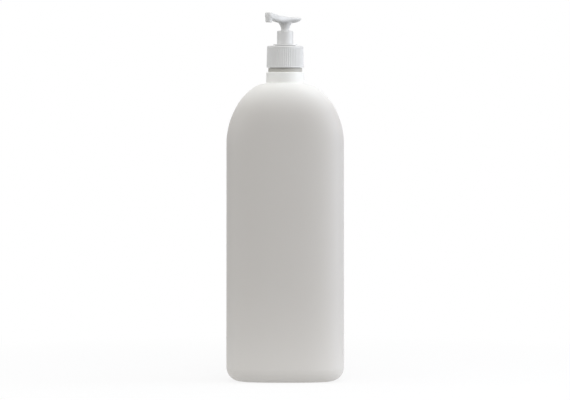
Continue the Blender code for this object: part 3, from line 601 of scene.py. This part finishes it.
# A closed (radius, height) line turned round Z: flange, sleeve and floor with the stem's hole.
def makeChaplet():
    s = chapletSettings
    edge = s["edge"]
    flangeLow = s["top"] - s["flange"]
    floorTop = s["low"] + s["floor"]
    line = np.concatenate([
        arc(s["bore"] + edge, s["top"] - edge, edge, 90.0, 180.0, 6),
        run((s["bore"], s["top"] - edge), (s["bore"], floorTop), 6),
        [(s["bore"], floorTop), (s["stemHole"], floorTop), (s["stemHole"], s["low"])],
        arc(s["sleeve"] - edge, s["low"] + edge, edge, 270.0, 360.0, 5),
        run((s["sleeve"], s["low"] + edge), (s["sleeve"], flangeLow), 6),
        [(s["sleeve"], flangeLow), (s["flangeRadius"], flangeLow)],
        arc(s["flangeRadius"] - edge, s["top"] - edge, edge, 0.0, 90.0, 7),
    ])
    piece = gridPiece("chapletCollar", turnedGrid(line, s["columns"]), loop=True)
    return finishPiece(piece, pumpMaterial, "pump_body", "pump_plastic", "chaplet")


makeChaplet()
print("chaplet made")


# The head is one moulding: thumb pad, spout and nozzle on a round column. It is worked out
# with its spout along +X and then turned to its place.
headLow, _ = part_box("head")
_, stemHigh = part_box("stem")
headSettings = dict(
    turn=math.radians(240.0), padLow=chapletHigh.z + 17.4 * mm, padHeight=5.4 * mm,
    padBack=16.5 * mm, padHalfWidth=10.3 * mm, rearRise=0.8 * mm, rearDroop=1.4 * mm,
    reach=30.0 * mm, spoutHalfWidth=3.4 * mm, taper=12.5 * mm, spoutRise=4.3 * mm,
    spoutThickness=5.8 * mm, climbPower=1.3,
    nozzle=2.8 * mm, nozzleRadius=2.8 * mm, nozzleInset=3.0 * mm,
    nozzleEdge=0.4 * mm, nozzleDraft=0.2 * mm, nozzleRoot=2.0 * mm,
    squareness=3.0, hullRoundness=1.9, widestShare=0.68,
    thumbDish=0.5 * mm, thumbReach=8.0 * mm, thumbPlace=0.5,
    skirtRadius=6.8 * mm, skirtWall=1.1 * mm, skirtLow=headLow.z, skirtShown=11.2 * mm,
    skirtEdge=0.9 * mm, skirtFoot=0.2 * mm,
    waistRadius=3.4 * mm, hubHeight=8.0 * mm, hubFlare=4.0 * mm,
    socketRadius=3.8 * mm, socketTop=stemHigh.z + 0.3 * mm, socketDepth=8.5 * mm,
    ductRadius=1.5 * mm, ductRoof=1.7 * mm, ductClimb=0.8, ductOverlap=0.6,
    outletRadius=1.3 * mm, outletBevel=0.2 * mm, toolRoom=1.0 * mm,
    columnSides=80, boreSides=64, nozzleSides=48, sharpDegrees=38.0,
)


# Half width, top and underside of the head at a distance along the spout.
# Width falls off as exp(-t^2), the top climbs as t^1.3, and the underside follows it.
def headSection(along, s):
    padMiddle = s["padHalfWidth"] - s["padBack"]
    taper = np.exp(-(((along - padMiddle) / s["taper"]) ** 2))
    width = s["spoutHalfWidth"] + (s["padHalfWidth"] - s["spoutHalfWidth"]) * taper
    climb = np.maximum(0.0, along / s["reach"])
    rear = np.clip((padMiddle - along) / s["padHalfWidth"], 0.0, 1.0) ** 2
    top = s["padLow"] + s["padHeight"] + s["spoutRise"] * climb ** s["climbPower"]
    top = top + s["rearRise"] * rear
    thin = 1.0 - np.exp(-((np.maximum(0.0, along) / s["taper"]) ** 2))
    underside = s["padLow"] + (top - s["spoutThickness"] - s["padLow"]) * thin
    return width, top, underside - s["rearDroop"] * rear


# A pillow over the head's plan: the outline is two flanks joined by half circles, and each
# point of it is carried from the middle line's underside round the edge to its top. The pad
# is hull-shaped, widest near its top, and the spout's section is an even one.
def headPillow(s, flank=90, turnSteps=30, levels=56):
    padMiddle = s["padHalfWidth"] - s["padBack"]
    frontEnd = s["reach"] - s["spoutHalfWidth"]
    footOut = np.linspace(padMiddle, frontEnd, flank)
    turn = np.linspace(0.0, math.pi, turnSteps + 2)[1:-1]
    foot = np.concatenate([footOut, np.full(turnSteps, frontEnd), footOut[::-1],
                           np.full(turnSteps, padMiddle)])
    aim = np.concatenate([np.full(flank, math.pi / 2), math.pi / 2 - turn,
                          np.full(flank, -math.pi / 2), -math.pi / 2 - turn])
    width, _, _ = headSection(foot, s)
    even = np.clip(foot / (s["reach"] / 2.0), 0.0, 1.0)
    level = np.linspace(-math.pi / 2, math.pi / 2, levels)[:, None]
    roundness = s["hullRoundness"] + (s["squareness"] - s["hullRoundness"]) * even
    power = 2.0 / np.where(level > 0.0, s["squareness"], roundness)
    out = np.abs(np.cos(level)) ** power
    up = np.sign(np.sin(level)) * np.abs(np.sin(level)) ** power
    x = foot + width * np.cos(aim) * out
    y = width * np.sin(aim) * out
    _, top, underside = headSection(x, s)
    widest = underside + (top - underside) * (s["widestShare"] + (0.5 - s["widestShare"]) * even)
    z = widest + np.where(up > 0.0, top - widest, widest - underside) * up
    # the thumb's dish, deepest in the middle of the pad
    dish = np.exp(-(((x - padMiddle * s["thumbPlace"]) ** 2 + y**2) / s["thumbReach"] ** 2))
    z = z - s["thumbDish"] * dish * np.maximum(up, 0.0) ** 2
    return np.stack([x, y, z], axis=-1)


# A straight rod or cone: its line is turned round Z, then aimed from start to end.
def rodPiece(name, start, end, startRadius, endRadius, sides=32):
    direction = (end - start).normalized()
    turn = direction.to_track_quat("Z", "Y").to_matrix()
    length = (end - start).length
    rings = turnedGrid([(0.0, 0.0), (startRadius, 0.0), (endRadius, length), (0.0, length)], sides)
    placed = rings.reshape(-1, 3) @ np.array(turn.transposed()) + np.array(start)
    return gridPiece(name, placed.reshape(rings.shape))


# The head's round column: the wide skirt, its soft shoulder, the waist, and the hub, whose
# radius grows as waist + flare t^2.
def columnLine(s, skirtTop):
    edge = s["skirtEdge"]
    soft = edge / 2.0
    hub = np.linspace(0.0, 1.0, 18)
    flare = np.stack([s["waistRadius"] + s["hubFlare"] * hub**2,
                      skirtTop + soft + s["hubHeight"] * hub], axis=1)
    return np.concatenate([
        [(0.0, s["skirtLow"]), (s["skirtRadius"] - s["skirtFoot"], s["skirtLow"])],
        run((s["skirtRadius"], s["skirtLow"] + s["skirtFoot"]),
            (s["skirtRadius"], skirtTop - edge), 8),
        arc(s["skirtRadius"] - edge, skirtTop - edge, edge, 0.0, 90.0, 10),
        arc(s["waistRadius"] + soft, skirtTop + soft, soft, 270.0, 190.0, 5),
        flare,
        [(0.0, flare[-1, 1])],
    ])


# The pillow and its column and nozzle are joined, then bored for the stem and the duct.
def makeHead():
    s = headSettings
    skirtTop = chapletHigh.z + s["skirtShown"]
    piece = gridPiece("pumpHead", headPillow(s), sharpDegrees=50.0)
    column = gridPiece("headColumn", turnedGrid(columnLine(s, skirtTop), s["columnSides"]))

    skirtBore = s["skirtRadius"] - s["skirtWall"]
    socketLow = s["socketTop"] - s["socketDepth"]
    ductHigh = s["padLow"] + s["padHeight"] - s["ductRoof"] - s["ductRadius"]
    bore = gridPiece("headBore", turnedGrid([
        (0.0, s["skirtLow"] - s["toolRoom"]), (skirtBore, s["skirtLow"] - s["toolRoom"]),
        (skirtBore, socketLow - skirtBore + s["socketRadius"]), (s["socketRadius"], socketLow),
        (s["socketRadius"], s["socketTop"]), (s["ductRadius"], s["socketTop"]),
        (s["ductRadius"], ductHigh), (0.0, ductHigh),
    ], s["boreSides"]))

    bendX = s["reach"] - s["nozzleInset"]
    bend = Vector((bendX, 0.0, ductHigh + s["spoutRise"] * s["ductClimb"]))
    duct = rodPiece("headDuct", Vector((0.0, 0.0, ductHigh)), bend,
                    s["ductRadius"], s["ductRadius"])
    _, spoutTop, spoutLow = (float(value[0]) for value in headSection(np.array([bendX]), s))
    mouth = Vector((bendX, 0.0, spoutLow - s["nozzle"]))
    root = spoutTop - s["nozzleRoot"]
    edge = s["nozzleEdge"]
    nozzleGrid = turnedGrid(np.concatenate([
        [(0.0, mouth.z)],
        arc(s["nozzleRadius"] - edge, mouth.z + edge, edge, 270.0, 360.0, 6),
        [(s["nozzleRadius"] + s["nozzleDraft"], root), (0.0, root)],
    ]), s["nozzleSides"])
    nozzleGrid[..., 0] += bendX
    nozzle = gridPiece("headNozzle", nozzleGrid)
    up = Vector((0.0, 0.0, 1.0))
    drop = rodPiece("headDrop", bend + up * (s["ductRadius"] * s["ductOverlap"]),
                    mouth - up * s["toolRoom"], s["outletRadius"], s["outletRadius"])
    bevel = rodPiece("headOutlet", mouth + up * s["outletBevel"], mouth - up * s["outletBevel"],
                     s["outletRadius"], s["outletRadius"] + 2.0 * s["outletBevel"])

    for tool in (column, nozzle):
        cutOrJoin(piece, tool, "UNION")
    for tool in (bore, duct, drop, bevel):
        cutOrJoin(piece, tool, "DIFFERENCE")
    bakeModifiers(piece, (column, nozzle, bore, duct, drop, bevel))

    # turned to its place: x and y go round Z, and z stays
    spin = np.array([[math.cos(s["turn"]), math.sin(s["turn"]), 0.0],
                     [-math.sin(s["turn"]), math.cos(s["turn"]), 0.0], [0.0, 0.0, 1.0]])
    count = len(piece.data.vertices)
    flat = np.zeros(count * 3)
    piece.data.vertices.foreach_get("co", flat)
    piece.data.vertices.foreach_set("co", (flat.reshape(-1, 3) @ spin).ravel())
    piece.data.update()
    piece.data.shade_smooth()
    piece.data.set_sharp_from_angle(angle=math.radians(s["sharpDegrees"]))
    return finishPiece(piece, pumpMaterial, "head", "pump_plastic", "head")


makeHead()
print("head made")


# The compression spring, with its end turns closed.
springLow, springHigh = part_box("spring")
springSettings = dict(
    wire=0.5 * mm, radius=4.9 * mm, active=5, closed=1, closedPitch=1.12 * mm,
    stroke=14.0 * mm, stepsPerTurn=36, sides=12,
)


# A tube along a helix: centre (R cos a, R sin a, climb), ring in the radial and upright
# directions. At each end one more ring, of radius 0, closes the wire flat.
def makeSpring():
    s = springSettings
    low = springLow.z + s["wire"]
    high = springHigh.z - s["wire"]
    turns = s["active"] + 2 * s["closed"]
    turn = np.linspace(0.0, turns, turns * s["stepsPerTurn"] + 1)
    openPitch = (high - low - 2.0 * s["closed"] * s["closedPitch"]) / s["active"]
    climb = low + np.minimum(turn, s["closed"]) * s["closedPitch"]
    climb = climb + np.clip(turn - s["closed"], 0.0, s["active"]) * openPitch
    climb = climb + np.maximum(turn - s["closed"] - s["active"], 0.0) * s["closedPitch"]
    angle = tau * turn
    wire = np.full(len(turn) + 2, s["wire"])
    wire[[0, -1]] = 0.0
    order = np.concatenate([[0], np.arange(len(turn)), [len(turn) - 1]])
    angle, climb = angle[order][:, None], climb[order][:, None]
    ring = (np.arange(s["sides"]) * tau / s["sides"])[None, :]
    radius = s["radius"] + wire[:, None] * np.cos(ring)
    points = np.stack([radius * np.cos(angle), radius * np.sin(angle),
                       climb + wire[:, None] * np.sin(ring)], axis=-1)
    piece = gridPiece("springCoil", points)
    finishPiece(piece, wireMaterial, "pump_body", "steel", "spring")
    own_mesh(piece)
    return piece


makeSpring()
print("spring made")


# These CAD nodes keep their mesh and get their real finish.
finishes = dict(
    housing=naturalMaterial, dip_tube=naturalMaterial, stem=pumpMaterial,
    piston_seat=pumpMaterial, piston=ldpeMaterial, gasket=gasketMaterial,
    inlet_ball=ballMaterial, outlet_ball=ballMaterial,
)
for nodeName, finish in finishes.items():
    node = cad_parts[nodeName]
    node.data.materials.clear()
    node.data.materials.append(finish)
print("inner pieces finished")


# The stage: a paper floor, the room, lamps and the camera.
stageSettings = dict(
    radius=4.0, middle=0.3, drop=0.15 * mm, columns=64, roughness=0.9,
    white=1.0, glow=0.80, shadeStart=0.15, shadeReach=0.50,
    bounceNear=0.70, bounceFar=0.10, bounceStart=0.06, bounceReach=0.30,
    albedo="#F2F2F2", farAlbedo="#303030",
)


# White paper sweep, part plain paper and part glow. The glow's share climbs from glow near
# the object, where the plain part takes a soft shadow, to all of it further out. For light
# that bounces off, that share is also multiplied by bounceNear under the object, falling to
# bounceFar beyond bounceReach, and the paper's colour darkens with it, so that the far floor
# doesn't light the object from below.
def makeFloor():
    s = stageSettings
    low = -s["drop"]
    floor = gridPiece("floor", turnedGrid([(0.0, low), (s["middle"], low), (s["radius"], low)],
                                          s["columns"]))
    material, tree, shader = newMaterial("paperSweep")
    output = tree.nodes["Material Output"]
    shader.inputs["Roughness"].default_value = s["roughness"]
    shader.inputs["Specular IOR Level"].default_value = 0.0
    where = addNode(tree, "ShaderNodeTexCoord").outputs["Object"]
    reach = addNode(tree, "ShaderNodeVectorMath", None, {0: where}, operation="LENGTH")
    near = addNode(tree, "ShaderNodeMapRange",
                   {"From Min": s["shadeStart"], "From Max": s["shadeReach"],
                    "To Min": s["glow"], "To Max": 1.0},
                   {"Value": reach.outputs["Value"]})
    path = addNode(tree, "ShaderNodeLightPath")
    seen = addNode(tree, "ShaderNodeMath", None,
                   {0: path.outputs["Is Camera Ray"], 1: path.outputs["Is Glossy Ray"]},
                   operation="MAXIMUM")
    bounce = addNode(tree, "ShaderNodeMapRange",
                     {"From Min": s["bounceStart"], "From Max": s["bounceReach"],
                      "To Min": s["bounceNear"], "To Max": s["bounceFar"]},
                     {"Value": reach.outputs["Value"]})
    level = addNode(tree, "ShaderNodeMapRange", {"To Max": 1.0},
                    {"Value": seen.outputs["Value"], "To Min": bounce.outputs["Result"]})
    share = addNode(tree, "ShaderNodeMath", None,
                    {0: near.outputs["Result"], 1: level.outputs["Result"]}, operation="MULTIPLY")
    paper = addNode(tree, "ShaderNodeMix", {6: linear(s["farAlbedo"]), 7: linear(s["albedo"])},
                    {0: level.outputs["Result"]}, data_type="RGBA")
    tree.links.new(paper.outputs[2], shader.inputs["Base Color"])
    white = addNode(tree, "ShaderNodeEmission", {"Strength": s["white"]})
    mixed = addNode(tree, "ShaderNodeMixShader", None,
                    {0: share.outputs["Value"], 1: shader.outputs["BSDF"],
                     2: white.outputs["Emission"]})
    tree.links.new(mixed.outputs["Shader"], output.inputs["Surface"])
    floor.data.materials.append(material)


worldSettings = dict(fill=0.27, tint="#FFFFFF")


# The room: white to the eye, to reflections and through plastic, and a dimmer even fill.
def makeWorld():
    s = worldSettings
    world = bpy.data.worlds.new("room")
    bpy.context.scene.world = world
    world.use_nodes = True
    tree = world.node_tree
    background = tree.nodes["Background"]
    path = addNode(tree, "ShaderNodeLightPath")
    mirror = addNode(tree, "ShaderNodeMath", None,
                     {0: path.outputs["Is Glossy Ray"], 1: path.outputs["Is Transmission Ray"]},
                     operation="MAXIMUM")
    eye = addNode(tree, "ShaderNodeMath", None,
                  {0: path.outputs["Is Camera Ray"], 1: mirror.outputs["Value"]},
                  operation="MAXIMUM")
    level = addNode(tree, "ShaderNodeMapRange", {"To Min": s["fill"], "To Max": 1.0},
                    {"Value": eye.outputs["Value"]})
    background.inputs["Color"].default_value = linear(s["tint"])
    tree.links.new(level.outputs["Result"], background.inputs["Strength"])


# Each lamp has its place, its size across and up, its power in watts and, where it isn't
# white, its tint. All face the bottle's middle.
lampAim = Vector((0.0, 0.0, 0.16))
lampSettings = dict(
    top=dict(place=(0.0, 0.0, 1.35), size=(1.2, 1.2), power=8.5),
    highFront=dict(place=(0.1, -1.1, 1.2), size=(0.8, 0.8), power=5.6),
    right=dict(place=(1.3, -0.1, 0.35), size=(0.9, 0.9), power=12.0, tint="#F0F5FF"),
    rightFront=dict(place=(1.0, -0.9, 0.45), size=(0.9, 0.9), power=4.4),
    left=dict(place=(-1.3, -0.1, 0.35), size=(0.9, 0.9), power=4.8),
    leftFront=dict(place=(-1.0, -0.9, 0.45), size=(0.9, 0.9), power=3.0),
)


def makeLamps():
    for name, s in lampSettings.items():
        data = bpy.data.lights.new(name, "AREA")
        data.shape = "RECTANGLE"
        data.size, data.size_y = s["size"]
        data.energy = s["power"]
        data.color = linear(s.get("tint", "#FFFFFF"))[:3]
        lamp = bpy.data.objects.new(name, data)
        lamp.location = s["place"]
        aim = lampAim - lamp.location
        lamp.rotation_euler = aim.to_track_quat("-Z", "Y").to_euler()
        bpy.context.scene.collection.objects.link(lamp)


# The picture is 570 by 400 pixels, and the 98.4 mm body is 118 of them wide. The bottle's
# axis stands at axisPixel from the left, and its base at basePixel from the top.
cameraSettings = dict(
    imageWidth=570, imageHeight=400, metresPerPixel=0.834 * mm, distance=3.0, height=0.27,
    axisPixel=285.2, basePixel=381.5, sensorWidth=36.0, clipStart=0.1, clipEnd=50.0,
)


# The lens is sensor width x distance / the width that the picture covers at the bottle.
def makeCamera():
    s = cameraSettings
    data = bpy.data.cameras.new("camera")
    data.sensor_width = s["sensorWidth"]
    data.lens = data.sensor_width * s["distance"] / (s["imageWidth"] * s["metresPerPixel"])
    data.clip_start = s["clipStart"]
    data.clip_end = s["clipEnd"]
    camera = bpy.data.objects.new("camera", data)
    side = (s["imageWidth"] / 2.0 - s["axisPixel"]) * s["metresPerPixel"]
    target = Vector((side, 0.0, (s["basePixel"] - s["imageHeight"] / 2.0) * s["metresPerPixel"]))
    camera.location = (side, -s["distance"], s["height"])
    aim = target - camera.location
    camera.rotation_euler = aim.to_track_quat("-Z", "Y").to_euler()
    bpy.context.scene.collection.objects.link(camera)
    bpy.context.scene.camera = camera


makeFloor()
makeWorld()
makeLamps()
makeCamera()
bpy.context.scene.view_settings.view_transform = "Standard"
print("stage, lamps and camera set")
